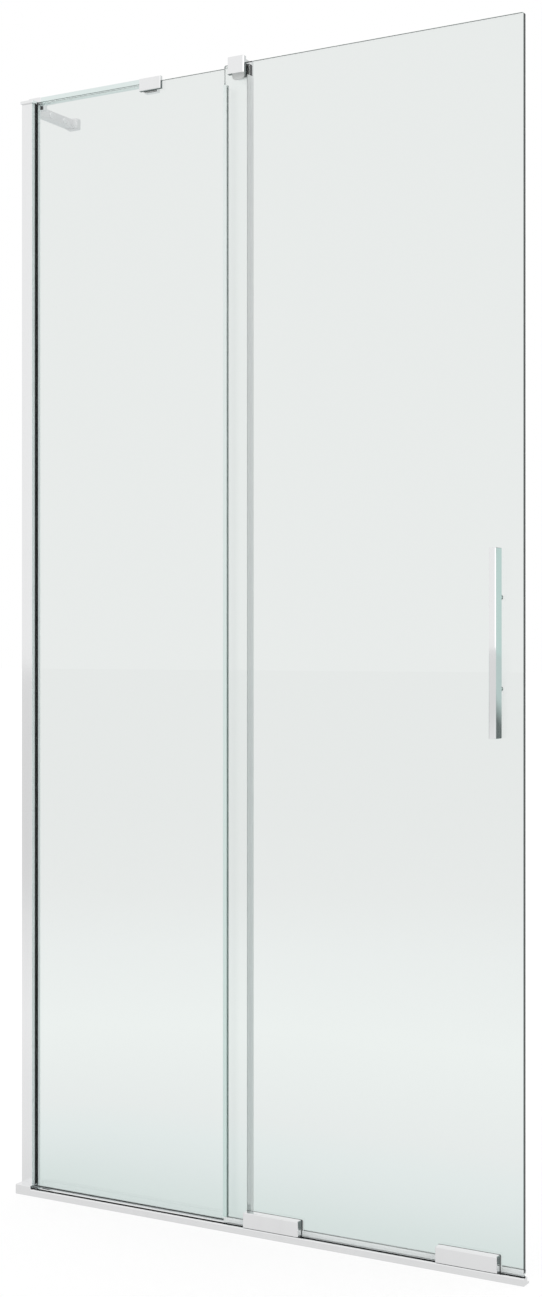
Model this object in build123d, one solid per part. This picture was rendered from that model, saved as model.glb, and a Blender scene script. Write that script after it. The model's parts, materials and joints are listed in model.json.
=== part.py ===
"""Walk-in shower screen: a fixed glass pane on a wall profile, and a glass door that rolls along a low track.

Millimetres. X runs along the screen from the wall (X = 0) to its free end, Y = 0 is the middle of the
fixed pane with -Y towards the room and +Y into the shower, and Z = 0 is the top of the shower tray.
"""

import math
import os

from build123d import *

# Overall
screen_width = 1000.0
screen_height = 2000.0
glass_thickness = 8.0
glass_arris = 0.6
glass_corner = 3.0
pane_gap = 10.0
bolt_hole_in_glass = 12.0

# Door pane and its travel
door_width = 552.2
door_reveal = 6.5
door_top_drop = 1.5
door_bottom = 13.6
door_overlap = 43.2
door_travel = 400.0
running_clearance = 0.3

# Wall profile
profile_width = 23.5
profile_depth = 29.0
profile_wall = 1.5
profile_corner = 1.0
profile_top_drop = 3.5
profile_wall_gap = 0.5
channel_room = 11.0
channel_wall = 1.5
channel_play = 0.4
channel_leg = 9.5
channel_end_gap = 2.0
wall_hole = 5.5
wall_hole_inner_spacing = 560.0
wall_hole_outer_spacing = 1680.0
glass_end_gap = 1.5
cap_thickness = 5.0
cap_overhang = 4.0
cap_reach = 3.5
cap_play = 0.3
cap_peg_length = 8.0
adjust_screw_shank = 3.5
adjust_screw_length = 8.0
adjust_screw_head = 7.5
adjust_screw_head_height = 2.4
adjust_screw_spacing = 750.0
adjust_cap_wall = 1.2
dome_radius = 1.0
thread_play = 0.05
cut_over = 1.0

# Gaskets and seals
gasket_thickness = 2.2
gasket_depth = 8.5
gasket_flap = 5.0
gasket_flap_relief = 0.5
seal_wall = 1.3
seal_flange = 5.7
seal_fin = 0.8
seal_fin_start = 46.0
door_seal_top_drop = 33.5
bottom_seal_flange = 7.0
bottom_seal_base = 1.2

# Base channel under the fixed pane
base_height = 8.0
base_wall = 1.3
base_floor = 1.5
base_gasket = 2.0
base_gasket_lip = 0.4
setting_block_height = 1.5
setting_block_length = 30.0
setting_block_inset = 46.0

# Track and its ends
track_height = 12.0
track_front_reach = 15.0
track_front_wall = 2.5
track_edge_radius = 2.0
groove_width = 8.0
groove_floor = 6.0
track_rib = 3.5
track_flange_height = 4.0
track_flange_edge = 3.0
track_flange_reach = 6.5
track_cap_thickness = 2.5
end_block_height = 17.4
end_block_left = 2.5
end_block_right = 36.2
end_block_radius = 2.0
stop_length = 12.0
stop_drop = 0.5

# Carriages
carriage_inset = 93.0
carriage_spacing = 359.5
cover_length = 107.0
cover_top = 38.6
cover_wall = 1.6
cover_radius = 1.5
cover_lift = 0.6
carriage_body_height = 22.0
carriage_body_thickness = 4.0
carriage_pad = 0.6
backplate_thickness = 3.0
carriage_bolt = 6.0
carriage_bolt_head = 11.0
carriage_bolt_spread = 14.0
carriage_bolt_height = 27.0
carriage_bolt_end = 1.0
carriage_socket = 4.4
carriage_socket_depth = 2.0
boss_wall = 1.0
cover_play = 1.0
wheel_radius = 10.0
wheel_width = 6.0
wheel_spread = 36.0
wheel_crown = 0.5
bearing_inner_radius = 4.0
bearing_outer_radius = 6.5
bearing_width = 5.0
axle_diameter = 5.0
axle_head = 7.5
axle_head_height = 1.6

# Handle
handle_width = 12.5
handle_depth = 24.5
handle_length = 301.0
handle_radius = 2.5
handle_edge = 0.8
handle_inset = 35.2
handle_height = 1005.9
handle_bolt_spacing = 145.0
handle_standoff = 4.5
handle_post = 6.5
handle_screw = 4.0
handle_screw_head = 8.0
handle_screw_head_height = 1.8
handle_screw_depth = 12.0
handle_socket = 2.6
handle_socket_depth = 1.2
handle_hole_rest = 1.0
handle_hole_in_glass = 8.0
handle_washer = 0.5
handle_washer_rim = 1.0

# Stabiliser arm and its glass clamp
arm_bar_depth = 10.0
arm_bar_height = 16.0
arm_bar_radius = 2.5
arm_bar_rise = 12.0
arm_glass_gap = 2.0
rail_width = 14.0
rail_height = 18.0
rail_wall = 1.5
rail_top_rise = 2.0
rail_end = 128.0
rail_hole_first = 62.0
rail_hole_spacing = 42.0
rail_access_hole = 10.0
rail_plug_rim = 1.0
rail_plug_head = 1.2
rail_plug_radius = 0.6
rail_plug_stem = 3.5
end_block_reach = 24.0
end_block_length = 12.0
end_block_overhang = 1.5
end_block_peg = 6.0
elbow_reach = 28.0
elbow_depth = 11.0
elbow_shelf = 7.5
elbow_gap = 0.5
elbow_spigot = 15.0
elbow_radius = 1.5
arm_screw = 4.0
arm_screw_head = 6.0
arm_screw_head_height = 4.0
arm_screw_grip = 18.0
arm_screw_bridge = 8.0
clamp_inset = 181.5
clamp_width = 45.0
clamp_rear_width = 27.0
clamp_drop = 16.0
clamp_rise = 6.0
clamp_jaw = 7.0
clamp_pad = 1.0
clamp_plate = 2.5
clamp_rear_wall = 10.5
clamp_roof_gap = 0.5
clamp_radius = 1.5
clamp_grub = 6.0
clamp_grub_spread = 7.0
clamp_grub_drop = 9.5
grub_recess = 1.5
grub_socket_share = 0.5

# Top guide of the door
guide_cover = 31.0
guide_width = 33.0
guide_bridge_width = 23.5
guide_rear_width = 26.5
guide_rise = 8.0
guide_drop = 21.0
guide_front_wall = 9.0
guide_rear_wall = 7.5
guide_radius = 4.0
guide_small_radius = 1.0
guide_roof_gap = 0.8
glider_thickness = 1.7
glider_width = 24.0
glider_tongue = 9.0
glider_tongue_radius = 7.2
glider_side_inset = 5.0

# Planes that several pieces share
fixed_front = -glass_thickness / 2
fixed_back = glass_thickness / 2
door_back = fixed_front - pane_gap
door_front = door_back - glass_thickness
door_right = screen_width - door_reveal
door_left = door_right - door_width
door_top = screen_height - door_top_drop
fixed_right = door_left + door_overlap
profile_face = profile_depth / 2
profile_top = screen_height - profile_top_drop
pocket_half = glass_thickness / 2 + gasket_thickness
fixed_left = channel_room + profile_wall + glass_end_gap
glass_seat = base_floor + setting_block_height
track_front = door_front - track_front_reach
track_left = end_block_right + running_clearance
track_right = screen_width - track_cap_thickness
groove_front = track_front + track_front_wall
groove_back = groove_front + groove_width
rib_back = groove_back + track_rib
flange_back = door_front + track_flange_reach
adjust_screw_x = (profile_wall_gap + channel_room) / 2
wheel_y = (groove_front + groove_back) / 2
wheel_z = groove_floor + running_clearance + wheel_radius
carriage_right = door_right - carriage_inset
carriage_left = carriage_right - carriage_spacing
carriages = {"left": carriage_left, "right": carriage_right}
wheels = [
    carriage_left - wheel_spread,
    carriage_left + wheel_spread,
    carriage_right - wheel_spread,
    carriage_right + wheel_spread,
]
body_front = door_front - carriage_pad - carriage_body_thickness
body_back = door_front - carriage_pad
body_bottom = door_bottom + running_clearance
body_top = body_bottom + carriage_body_height
body_half = cover_length / 2 - cover_wall - running_clearance
clamp_left = fixed_right - clamp_inset - clamp_width
clamp_back = fixed_back + clamp_pad + clamp_plate
guide_left = fixed_right - guide_cover
arm_y = fixed_back + arm_glass_gap + arm_bar_depth / 2
bar_top = screen_height + arm_bar_rise
rail_top = screen_height + rail_top_rise
rail_bottom = rail_top - rail_height
rail_middle = (rail_top + rail_bottom) / 2
elbow_front = profile_face + cap_overhang + elbow_gap
elbow_back = elbow_front + elbow_depth
rail_front = elbow_back + running_clearance
rail_holes = [rail_hole_first, rail_hole_first + rail_hole_spacing]
handle_x = door_right - handle_inset - handle_width / 2
handle_bolts = [handle_height - handle_bolt_spacing / 2, handle_height + handle_bolt_spacing / 2]


def box(x0, x1, y0, y1, z0, z1):
    """A block between two corners."""
    centre = Pos((x0 + x1) / 2, (y0 + y1) / 2, (z0 + z1) / 2)
    return centre * Box(x1 - x0, y1 - y0, z1 - z0)


def rod(axis, radius, start, end, across, height):
    """A round bar along X, Y or Z from start to end; across and height are its other two places in order."""
    turned = {"X": Rot(0, 90, 0), "Y": Rot(-90, 0, 0), "Z": Rot(0, 0, 0)}[axis]
    middle = (start + end) / 2
    place = {
        "X": Pos(middle, across, height),
        "Y": Pos(across, middle, height),
        "Z": Pos(across, height, middle),
    }[axis]
    return place * turned * Cylinder(radius, end - start)


def sleeve(x, z, outer, inner, y0, y1):
    """A tube along Y."""
    return rod("Y", outer, y0, y1, x, z) - rod("Y", inner, y0 - cut_over, y1 + cut_over, x, z)


def along_z(points, z0, z1):
    """An outline of (X, Y) points carried up Z."""
    face = make_face(Polyline(*points, close=True))
    return extrude(Plane.XY.offset(z0) * face, z1 - z0)


def upright_edges(shape):
    """The edges of a block that stand along Z."""
    return shape.edges().filter_by(Axis.Z)


def pieces(solids):
    """Several separate solids as one node."""
    return Part() + list(solids)


def pane(x0, x1, y0, y1, z0, z1, holes):
    """A toughened pane with rounded corners, an arris round both faces, and holes as (X, Z, diameter)."""
    plate = box(x0, x1, y0, y1, z0, z1)
    plate = fillet(plate.edges().filter_by(Axis.Y), glass_corner)
    rims = plate.faces().sort_by(Axis.Y)
    plate = chamfer([*rims[0].edges(), *rims[-1].edges()], glass_arris)
    for x, z, diameter in holes:
        plate -= rod("Y", diameter / 2, y0 - cut_over, y1 + cut_over, x, z)
    return plate


def wall_fixing_heights():
    """The heights of the four wall screw holes."""
    middle = profile_top / 2
    halves = [wall_hole_inner_spacing / 2, wall_hole_outer_spacing / 2]
    return [middle + side * half for half in halves for side in (-1, 1)]


def adjust_screw_heights():
    """The heights of the three screws that join the glass profile to the wall channel."""
    middle = profile_top / 2
    return [middle - adjust_screw_spacing, middle, middle + adjust_screw_spacing]


def wall_channel():
    """The U-shaped channel that is screwed to the wall, open towards the glass."""
    half = profile_face - profile_wall - channel_play
    z0, z1 = 0, profile_top - channel_end_gap
    shape = box(0, channel_leg, -half, half, z0, z1)
    shape -= box(channel_wall, channel_leg, channel_wall - half, half - channel_wall, z0, z1)
    for z in wall_fixing_heights():
        shape -= rod("X", wall_hole / 2, -cut_over, channel_wall + cut_over, 0, z)
    for z in adjust_screw_heights():
        shape -= rod("Y", adjust_screw_shank / 2 + thread_play, 0, half + cut_over, adjust_screw_x, z)
    return shape


def glass_profile():
    """The chromed profile that slides over the wall channel and holds the edge of the fixed pane."""
    shape = box(profile_wall_gap, profile_width, -profile_face, profile_face, 0, profile_top)
    outer = upright_edges(shape).group_by(Axis.X)[-1]
    shape = fillet(outer, profile_corner)
    inner = profile_face - profile_wall
    shape -= box(profile_wall_gap, channel_room, -inner, inner, 0, profile_top)
    pocket = channel_room + profile_wall
    shape -= box(pocket, profile_width, -pocket_half, pocket_half, 0, profile_top)
    for side in (-1, 1):
        near, far = sorted((side * (pocket_half + profile_wall), side * inner))
        shape -= box(pocket, profile_width - profile_wall, near, far, 0, profile_top)
    for z in adjust_screw_heights():
        hole = adjust_screw_shank / 2 + running_clearance
        shape -= rod("Y", hole, inner - cut_over, profile_face + cut_over, adjust_screw_x, z)
    return shape


def profile_top_cap():
    """The cap that closes the top of the wall profile and reaches over the corner of the pane."""
    reach = profile_width + cap_reach
    half = profile_face + cap_overhang
    top = profile_top + cap_thickness
    shape = box(0, reach, -half, half, profile_top, top)
    shape = fillet(upright_edges(shape).group_by(Axis.X)[-1], profile_corner)
    shape = fillet(shape.faces().sort_by(Axis.Z)[-1].edges().group_by(Axis.X)[-1], profile_corner / 2)
    slot = glass_thickness / 2 + cap_play
    shape -= box(fixed_left - cap_play, reach, -slot, slot, profile_top, screen_height + cap_play)
    inner = profile_face - profile_wall
    for side in (-1, 1):
        near, far = sorted((side * (pocket_half + profile_wall + cap_play), side * (inner - cap_play)))
        x0 = channel_room + profile_wall + cap_play
        x1 = profile_width - profile_wall - cap_play
        shape += box(x0, x1, near, far, profile_top - cap_peg_length, profile_top)
    return shape


def profile_screws():
    """Three pan-head screws on the shower side that set the profile square on its channel."""
    solids = []
    for z in adjust_screw_heights():
        head_end = profile_face + adjust_screw_head_height
        head = rod("Y", adjust_screw_head / 2, profile_face, head_end, adjust_screw_x, z)
        head = fillet(head.edges().sort_by(Axis.Y)[-1], dome_radius)
        shank_end = profile_face - adjust_screw_length
        shank = rod("Y", adjust_screw_shank / 2, shank_end, profile_face, adjust_screw_x, z)
        solids.append(head + shank)
    return pieces(solids)


def profile_screw_caps():
    """Snap caps over the three profile screws."""
    solids = []
    room = adjust_screw_head / 2 + running_clearance
    inside = profile_face + adjust_screw_head_height + running_clearance
    for z in adjust_screw_heights():
        outside = inside + adjust_cap_wall
        cap = rod("Y", room + adjust_cap_wall, profile_face, outside, adjust_screw_x, z)
        cap = fillet(cap.edges().sort_by(Axis.Y)[-1], dome_radius)
        solids.append(cap - rod("Y", room, profile_face, inside, adjust_screw_x, z))
    return pieces(solids)


def wall_gasket(side):
    """A gasket wedged between the profile and the pane, with a flap that lies on the glass."""
    face = glass_thickness / 2
    y_glass = side * face
    y_lip = side * pocket_half
    y_flap = side * (pocket_half - gasket_flap_relief)
    tip = profile_width + gasket_flap
    outline = [
        (profile_width - gasket_depth, y_glass),
        (tip, y_glass),
        (tip, side * (face + gasket_thickness / 3)),
        (tip - gasket_flap / 3, y_flap),
        (profile_width, y_flap),
        (profile_width, y_lip),
        (profile_width - gasket_depth, y_lip),
    ]
    return along_z(outline, base_height + base_gasket_lip + running_clearance, profile_top)


def fixed_glass():
    """The fixed pane."""
    return pane(fixed_left, fixed_right, fixed_front, fixed_back, glass_seat, screen_height, [])


def edge_seal(tip, inward, y0, y1, z0, z1):
    """A clear U-shaped seal pushed over an upright glass edge at X = tip; inward points into the pane."""
    outer = tip - inward * seal_wall
    inner = tip + inward * seal_flange
    x0, x1 = sorted((outer, inner))
    shape = box(x0, x1, y0 - seal_wall, y1 + seal_wall, z0, z1)
    slot0, slot1 = sorted((tip, inner))
    return shape - box(slot0, slot1, y0, y1, z0, z1)


def seal_lip(tip, inward, y0, y1, z0, z1):
    """The thin upright lip of an edge seal that closes the gap between the two panes."""
    outer = tip - inward * seal_wall
    bend = outer + inward * seal_fin
    shift = inward * seal_fin / 2
    return along_z([(outer, y0), (bend, y0), (bend - shift, y1), (outer - shift, y1)], z0, z1)


def fixed_glass_edge_seal():
    """The seal on the free edge of the fixed pane, with its lip reaching to the door."""
    z0 = base_height + base_gasket_lip + running_clearance
    z1 = screen_height - guide_drop - running_clearance
    shape = edge_seal(fixed_right, -1, fixed_front, fixed_back, z0, z1)
    lip_root = fixed_front - seal_wall
    return shape + seal_lip(fixed_right, -1, lip_root, door_back + running_clearance, seal_fin_start, z1)


def door_edge_seal():
    """The seal on the trailing edge of the door, with its lip reaching to the fixed pane."""
    z0 = door_bottom + bottom_seal_flange + running_clearance
    z1 = door_top - door_seal_top_drop
    shape = edge_seal(door_left, 1, door_front, door_back, z0, z1)
    lip_root = door_back + seal_wall
    return shape + seal_lip(door_left, 1, lip_root, fixed_front - running_clearance, z0, z1)


def base_half():
    """Half the depth of the base channel."""
    return glass_thickness / 2 + base_gasket + base_wall


def base_channel():
    """The low channel on the tray that the fixed pane stands in."""
    half = base_half()
    x0 = profile_width + running_clearance
    x1 = fixed_right + seal_wall
    shape = box(x0, x1, -half, half, 0, base_height)
    return shape - box(x0, x1, base_wall - half, half - base_wall, base_floor, base_height)


def base_gaskets():
    """The two gaskets pressed in on either side of the pane in the base channel."""
    x0 = profile_width + running_clearance
    x1 = fixed_right
    top = base_height + base_gasket_lip
    inner = glass_thickness / 2
    front = box(x0, x1, -inner - base_gasket, -inner, glass_seat, top)
    back = box(x0, x1, inner, inner + base_gasket, glass_seat, top)
    return pieces([front, back])


def setting_blocks():
    """Two blocks that carry the fixed pane's weight in the channel."""
    starts = [fixed_left + setting_block_inset, fixed_right - setting_block_inset - setting_block_length]
    half = glass_thickness / 2
    return pieces(box(x, x + setting_block_length, -half, half, base_floor, glass_seat) for x in starts)


def track_outline(grooved):
    """The track's section: a low front wall, the wheel groove, a rib and a thin flange under the door."""
    corner = track_edge_radius
    front = track_front
    rise = Line((front, 0), (front, track_height - corner))
    edge = RadiusArc(rise @ 1, (front + corner, track_height), corner)
    groove = [
        (groove_front, track_height),
        (groove_front, groove_floor),
        (groove_back, groove_floor),
        (groove_back, track_height),
    ]
    rear = [
        (rib_back, track_height),
        (rib_back, track_flange_height),
        (flange_back, track_flange_edge),
        (flange_back, 0),
        (front, 0),
    ]
    top = [edge @ 1, *groove, *rear] if grooved else [edge @ 1, *rear]
    return make_face(Curve() + [rise, edge, Polyline(*top)])


def bottom_track():
    """The rolled track on the tray that carries the door's wheels."""
    section = Plane.YZ.offset(track_left) * track_outline(True)
    return extrude(section, track_right - track_left)


def track_end_cap():
    """The cap on the track's free end."""
    section = Plane.YZ.offset(track_right) * track_outline(False)
    return extrude(section, track_cap_thickness)


def end_block():
    """The block that ends the track in front of the wall profile."""
    back = -profile_face - running_clearance
    shape = box(end_block_left, end_block_right, track_front, back, 0, end_block_height)
    shape = fillet(upright_edges(shape).group_by(Axis.Y)[0], end_block_radius)
    return fillet(shape.faces().sort_by(Axis.Z)[-1].edges(), end_block_radius / 2)


def track_stops():
    """Rubber stops in the groove that the first and last wheels meet at the ends of the door's travel."""
    height = track_height - stop_drop
    half_chord = math.sqrt(wheel_radius**2 - (wheel_z - height) ** 2)
    open_face = wheels[0] - door_travel - half_chord - running_clearance
    closed_face = wheels[-1] + half_chord + running_clearance
    y0, y1 = groove_front + running_clearance, groove_back - running_clearance
    left = box(open_face - stop_length, open_face, y0, y1, groove_floor, height)
    right = box(closed_face, closed_face + stop_length, y0, y1, groove_floor, height)
    return pieces([left, right])


def arm_wall_rail():
    """The square rail that runs back along the wall behind the glass."""
    shape = box(0, rail_width, rail_front, rail_end, rail_bottom, rail_top)
    shape = fillet(shape.edges().filter_by(Axis.Y).group_by(Axis.X)[-1], elbow_radius)
    w = rail_wall
    shape -= box(w, rail_width - w, rail_front, rail_end, rail_bottom + w, rail_top - w)
    for y in rail_holes:
        shape -= rod("X", wall_hole / 2, -cut_over, w + cut_over, y, rail_middle)
        access = rail_width - w - cut_over
        shape -= rod("X", rail_access_hole / 2, access, rail_width + cut_over, y, rail_middle)
    return shape


def rail_peg(y0, y1):
    """A peg that fits inside the rail."""
    w = rail_wall + cap_play
    return box(w, rail_width - w, y0, y1, rail_bottom + w, rail_top - w)


def arm_end_block():
    """The block on the rail's far end."""
    z0, z1 = rail_bottom - end_block_overhang, rail_top + end_block_overhang
    shape = box(0, end_block_reach, rail_end, rail_end + end_block_length, z0, z1)
    shape = fillet(shape.edges().filter_by(Axis.Y).group_by(Axis.X)[-1], elbow_radius)
    return shape + rail_peg(rail_end - end_block_peg, rail_end)


def arm_screw_plugs():
    """Plugs in the rail's two access holes."""
    solids = []
    radius = rail_access_hole / 2 - thread_play
    for y in rail_holes:
        stem = rod("X", radius, rail_width - rail_plug_stem, rail_width, y, rail_middle)
        head = rod("X", radius + rail_plug_rim, rail_width, rail_width + rail_plug_head, y, rail_middle)
        solids.append(stem + fillet(head.edges().sort_by(Axis.X)[-1], rail_plug_radius))
    return pieces(solids)


def elbow_screw_height():
    """The height of the screw from the elbow into the bar, above the profile's cap."""
    return (screen_height + rail_top_rise + bar_top) / 2


def arm_elbow():
    """The elbow over the corner of the wall profile that joins the wall rail to the bar."""
    x0, x1 = profile_wall_gap, elbow_reach
    shape = box(x0, x1, elbow_front, elbow_back, rail_bottom + elbow_shelf, bar_top)
    shape += box(x0, x1, arm_y - arm_bar_depth / 2, elbow_front, rail_top, bar_top)
    shape = fillet(upright_edges(shape).group_by(Axis.X)[-1], elbow_radius)
    shape += box(x0, rail_width, elbow_front, elbow_back, rail_bottom, rail_bottom + elbow_shelf)
    shape += rail_peg(elbow_back, rail_front + elbow_spigot)
    z = elbow_screw_height()
    seat = x1 - arm_screw_bridge
    shape -= rod("X", arm_screw / 2 + thread_play, seat - cut_over, x1 + cut_over, arm_y, z)
    return shape - rod("X", arm_screw_head / 2 + cap_play, x0 - cut_over, seat, arm_y, z)


def arm_elbow_screw():
    """The screw through the elbow into the bar."""
    z = elbow_screw_height()
    seat = elbow_reach - arm_screw_bridge
    head = rod("X", arm_screw_head / 2, seat - arm_screw_head_height, seat, arm_y, z)
    return head + rod("X", arm_screw / 2, seat, elbow_reach + arm_screw_grip, arm_y, z)


def arm_bar():
    """The bar along the top of the fixed pane, from the elbow to the clamp."""
    y0 = arm_y - arm_bar_depth / 2
    shape = box(elbow_reach, clamp_left, y0, y0 + arm_bar_depth, bar_top - arm_bar_height, bar_top)
    shape = fillet(shape.edges().filter_by(Axis.X), arm_bar_radius)
    hole = arm_screw / 2 + thread_play
    depth = arm_screw_grip + cut_over
    shape -= rod("X", hole, elbow_reach - cut_over, elbow_reach + depth, arm_y, elbow_screw_height())
    return shape - rod("X", hole, clamp_left - depth, clamp_left + cut_over, arm_y, clamp_screw_height())


def clamp_screw_height():
    """The height of the screw from the clamp into the bar."""
    return screen_height + clamp_rise - clamp_radius - arm_screw_head / 2


def clamp_body():
    """The block that grips the top edge of the fixed pane and carries the bar."""
    x0, x1 = clamp_left, clamp_left + clamp_width
    y0 = fixed_front - clamp_pad - clamp_jaw
    slot = fixed_front - clamp_pad
    y1 = clamp_back + clamp_rear_wall
    z0, z1 = screen_height - clamp_drop, screen_height + clamp_rise
    shape = box(x0, x1, y0, slot, z0, z1)
    shape = fillet(shape.faces().sort_by(Axis.Y)[0].edges(), clamp_radius)
    roof = screen_height + clamp_roof_gap
    rear = box(x0, x0 + clamp_rear_width, slot, y1, z0, z1)
    shape += rear - box(x0, x0 + clamp_rear_width, slot, clamp_back, z0, roof)
    for x, z in clamp_grubs():
        shape -= rod("Y", clamp_grub / 2 + thread_play, clamp_back - cut_over, y1 + cut_over, x, z)
    z = clamp_screw_height()
    seat = x0 + arm_screw_bridge
    shape -= rod("X", arm_screw / 2 + thread_play, x0 - cut_over, seat + cut_over, arm_y, z)
    return shape - rod("X", arm_screw_head / 2 + cap_play, seat, x1 + cut_over, arm_y, z)


def clamp_grubs():
    """The (X, Z) places of the clamp's two grub screws."""
    middle = clamp_left + clamp_rear_width / 2
    z = screen_height - clamp_grub_drop
    return [(middle - clamp_grub_spread, z), (middle + clamp_grub_spread, z)]


def clamp_bar_screw():
    """The screw through the clamp into the bar's end."""
    z = clamp_screw_height()
    seat = clamp_left + arm_screw_bridge
    head = rod("X", arm_screw_head / 2, seat, seat + arm_screw_head_height, arm_y, z)
    return head + rod("X", arm_screw / 2, clamp_left - arm_screw_grip, seat, arm_y, z)


def hex_socket(x, y, z, width, depth):
    """The hollow of a hexagon socket that opens at Y = y towards +Y."""
    return Pos(x, y, z) * Rot(-90, 0, 0) * extrude(RegularPolygon(width / 2, 6), -depth)


def grub_screws(places, radius, y0, y1):
    """Socket grub screws along Y at each (X, Z)."""
    solids = []
    for x, z in places:
        screw = rod("Y", radius, y0, y1, x, z)
        solids.append(screw - hex_socket(x, y1, z, 2 * radius * grub_socket_share, radius))
    return pieces(solids)


def clamp_grub_screws():
    """The two grub screws that press the clamp's plate on the pane."""
    return grub_screws(clamp_grubs(), clamp_grub / 2, clamp_back, clamp_back + clamp_rear_wall - grub_recess)


def pressure_plate(x0, x1, z0):
    """A steel plate between a clamp's grub screws and its rear pad."""
    return box(x0, x1, fixed_back + clamp_pad, clamp_back, z0, screen_height)


def clamp_pressure_plate():
    """The clamp's pressure plate."""
    x1 = clamp_left + clamp_rear_width - clamp_radius
    return pressure_plate(clamp_left + clamp_radius, x1, screen_height - clamp_drop + clamp_radius)


def glass_pads(x0, front_x1, rear_x1, z0):
    """The front and rear pads of a clamp on the fixed pane."""
    front = box(x0, front_x1, fixed_front - clamp_pad, fixed_front, z0, screen_height)
    back = box(x0, rear_x1, fixed_back, fixed_back + clamp_pad, z0, screen_height)
    return pieces([front, back])


def clamp_pads():
    """The clamp's two rubber pads."""
    x0 = clamp_left + clamp_radius
    front_x1 = clamp_left + clamp_width - clamp_radius
    rear_x1 = clamp_left + clamp_rear_width - clamp_radius
    return glass_pads(x0, front_x1, rear_x1, screen_height - clamp_drop + clamp_radius)


def guide_body():
    """The block on the corner of the fixed pane whose front slot keeps the door upright."""
    x0, x1 = guide_left, guide_left + guide_width
    door_slot_front = door_front - running_clearance - glider_thickness
    door_slot_back = door_back + running_clearance + glider_thickness
    y0 = door_slot_front - guide_front_wall
    slot = fixed_front - clamp_pad
    y1 = clamp_back + guide_rear_wall
    z0, z1 = screen_height - guide_drop, screen_height + guide_rise
    roof = screen_height + guide_roof_gap
    shape = box(x0, x1, y0, door_slot_front, z0, z1)
    shape = fillet(upright_edges(shape).group_by(Axis.Y)[0], guide_radius)
    shape = fillet(shape.faces().sort_by(Axis.Z)[-1].edges().group_by(Axis.Y)[0], guide_small_radius)
    shape += box(x0, x0 + guide_bridge_width, door_slot_front, clamp_back, roof, z1)
    shape += box(x0, x0 + guide_bridge_width, door_slot_back, slot, z0, z1)
    shape += box(x0, x0 + guide_rear_width, clamp_back, y1, z0, z1)
    for x, z in guide_grubs():
        shape -= rod("Y", clamp_grub / 2 + thread_play, clamp_back - cut_over, y1 + cut_over, x, z)
    return shape


def guide_grubs():
    """The (X, Z) places of the guide's two grub screws."""
    z = screen_height - guide_drop / 2
    return [(guide_left + guide_rear_width / 4, z), (guide_left + guide_rear_width * 3 / 4, z)]


def guide_grub_screws():
    """The two grub screws that press the guide's plate on the pane."""
    return grub_screws(guide_grubs(), clamp_grub / 2, clamp_back, clamp_back + guide_rear_wall - grub_recess)


def guide_pressure_plate():
    """The guide's pressure plate."""
    x1 = guide_left + guide_rear_width - guide_small_radius
    z0 = screen_height - guide_drop + guide_small_radius
    return pressure_plate(guide_left + guide_small_radius, x1, z0)


def guide_pads():
    """The guide's two rubber pads on the fixed pane."""
    rear_x1 = guide_left + guide_rear_width - guide_small_radius
    z0 = screen_height - guide_drop + guide_small_radius
    front_x1 = guide_left + guide_bridge_width - guide_small_radius
    return glass_pads(guide_left + guide_small_radius, front_x1, rear_x1, z0)


def guide_gliders():
    """The two nylon gliders that the door runs between; the front one ends in a rounded tongue."""
    x0 = guide_left + glider_side_inset
    x1 = x0 + glider_width
    z0, z1 = screen_height - guide_drop, screen_height
    front_face = door_front - running_clearance
    tongue_bottom = z0 - glider_tongue
    front = box(x0, x1, front_face - glider_thickness, front_face, tongue_bottom, z1)
    front = fillet(front.edges().filter_by(Axis.Y).group_by(Axis.Z)[0], glider_tongue_radius)
    back_face = door_back + running_clearance
    back_x1 = guide_left + guide_bridge_width - guide_small_radius
    back = box(x0, back_x1, back_face, back_face + glider_thickness, z0, z1)
    return pieces([front, back])


def carriage_bolts():
    """The (X, Z) places of the four bolts that hold the carriages to the door."""
    places = []
    for centre in carriages.values():
        places.append((centre - carriage_bolt_spread, carriage_bolt_height))
        places.append((centre + carriage_bolt_spread, carriage_bolt_height))
    return places


def door_glass():
    """The door pane, drilled for its carriages and its handle."""
    holes = [(x, z, bolt_hole_in_glass) for x, z in carriage_bolts()]
    holes += [(handle_x, z, handle_hole_in_glass) for z in handle_bolts]
    return pane(door_left, door_right, door_front, door_back, door_bottom, door_top, holes)


def door_bottom_seal():
    """The wiper under the door: a full-length strip and lip, with flanges where the carriages leave room."""
    strip = door_bottom - bottom_seal_base
    shape = box(door_left, door_right, door_front, door_back, strip, door_bottom)
    reach = cover_length / 2 + cover_play
    spans = [
        (door_left, carriage_left - reach),
        (carriage_left + reach, carriage_right - reach),
        (carriage_right + reach, door_right),
    ]
    top = door_bottom + bottom_seal_flange
    for x0, x1 in spans:
        shape += box(x0, x1, door_front - seal_wall, door_front, strip, top)
        shape += box(x0, x1, door_back, door_back + seal_wall, strip, top)
    lip_y = (door_front + door_back) / 2
    lip_bottom = track_flange_height + running_clearance
    return shape + box(door_left, door_right, lip_y, lip_y + seal_fin, lip_bottom, strip)


def handle_bar():
    """The pull bar, with two blind threaded holes in its back."""
    x0 = handle_x - handle_width / 2
    back = door_front - handle_standoff
    z0 = handle_height - handle_length / 2
    shape = box(x0, x0 + handle_width, back - handle_depth, back, z0, z0 + handle_length)
    shape = fillet(upright_edges(shape).group_by(Axis.Y)[0], handle_radius)
    ends = shape.faces().sort_by(Axis.Z)
    shape = fillet([*ends[0].edges(), *ends[-1].edges()], handle_edge)
    for z in handle_bolts:
        bottom = back - handle_screw_depth - handle_hole_rest
        shape -= rod("Y", handle_screw / 2 + thread_play, bottom, back + cut_over, handle_x, z)
    return shape


def handle_posts():
    """The two sleeves that hold the bar off the glass."""
    y0, y1 = door_front - handle_standoff, door_front - handle_washer
    bore = handle_screw / 2 + thread_play
    return pieces(sleeve(handle_x, z, handle_post / 2, bore, y0, y1) for z in handle_bolts)


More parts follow.
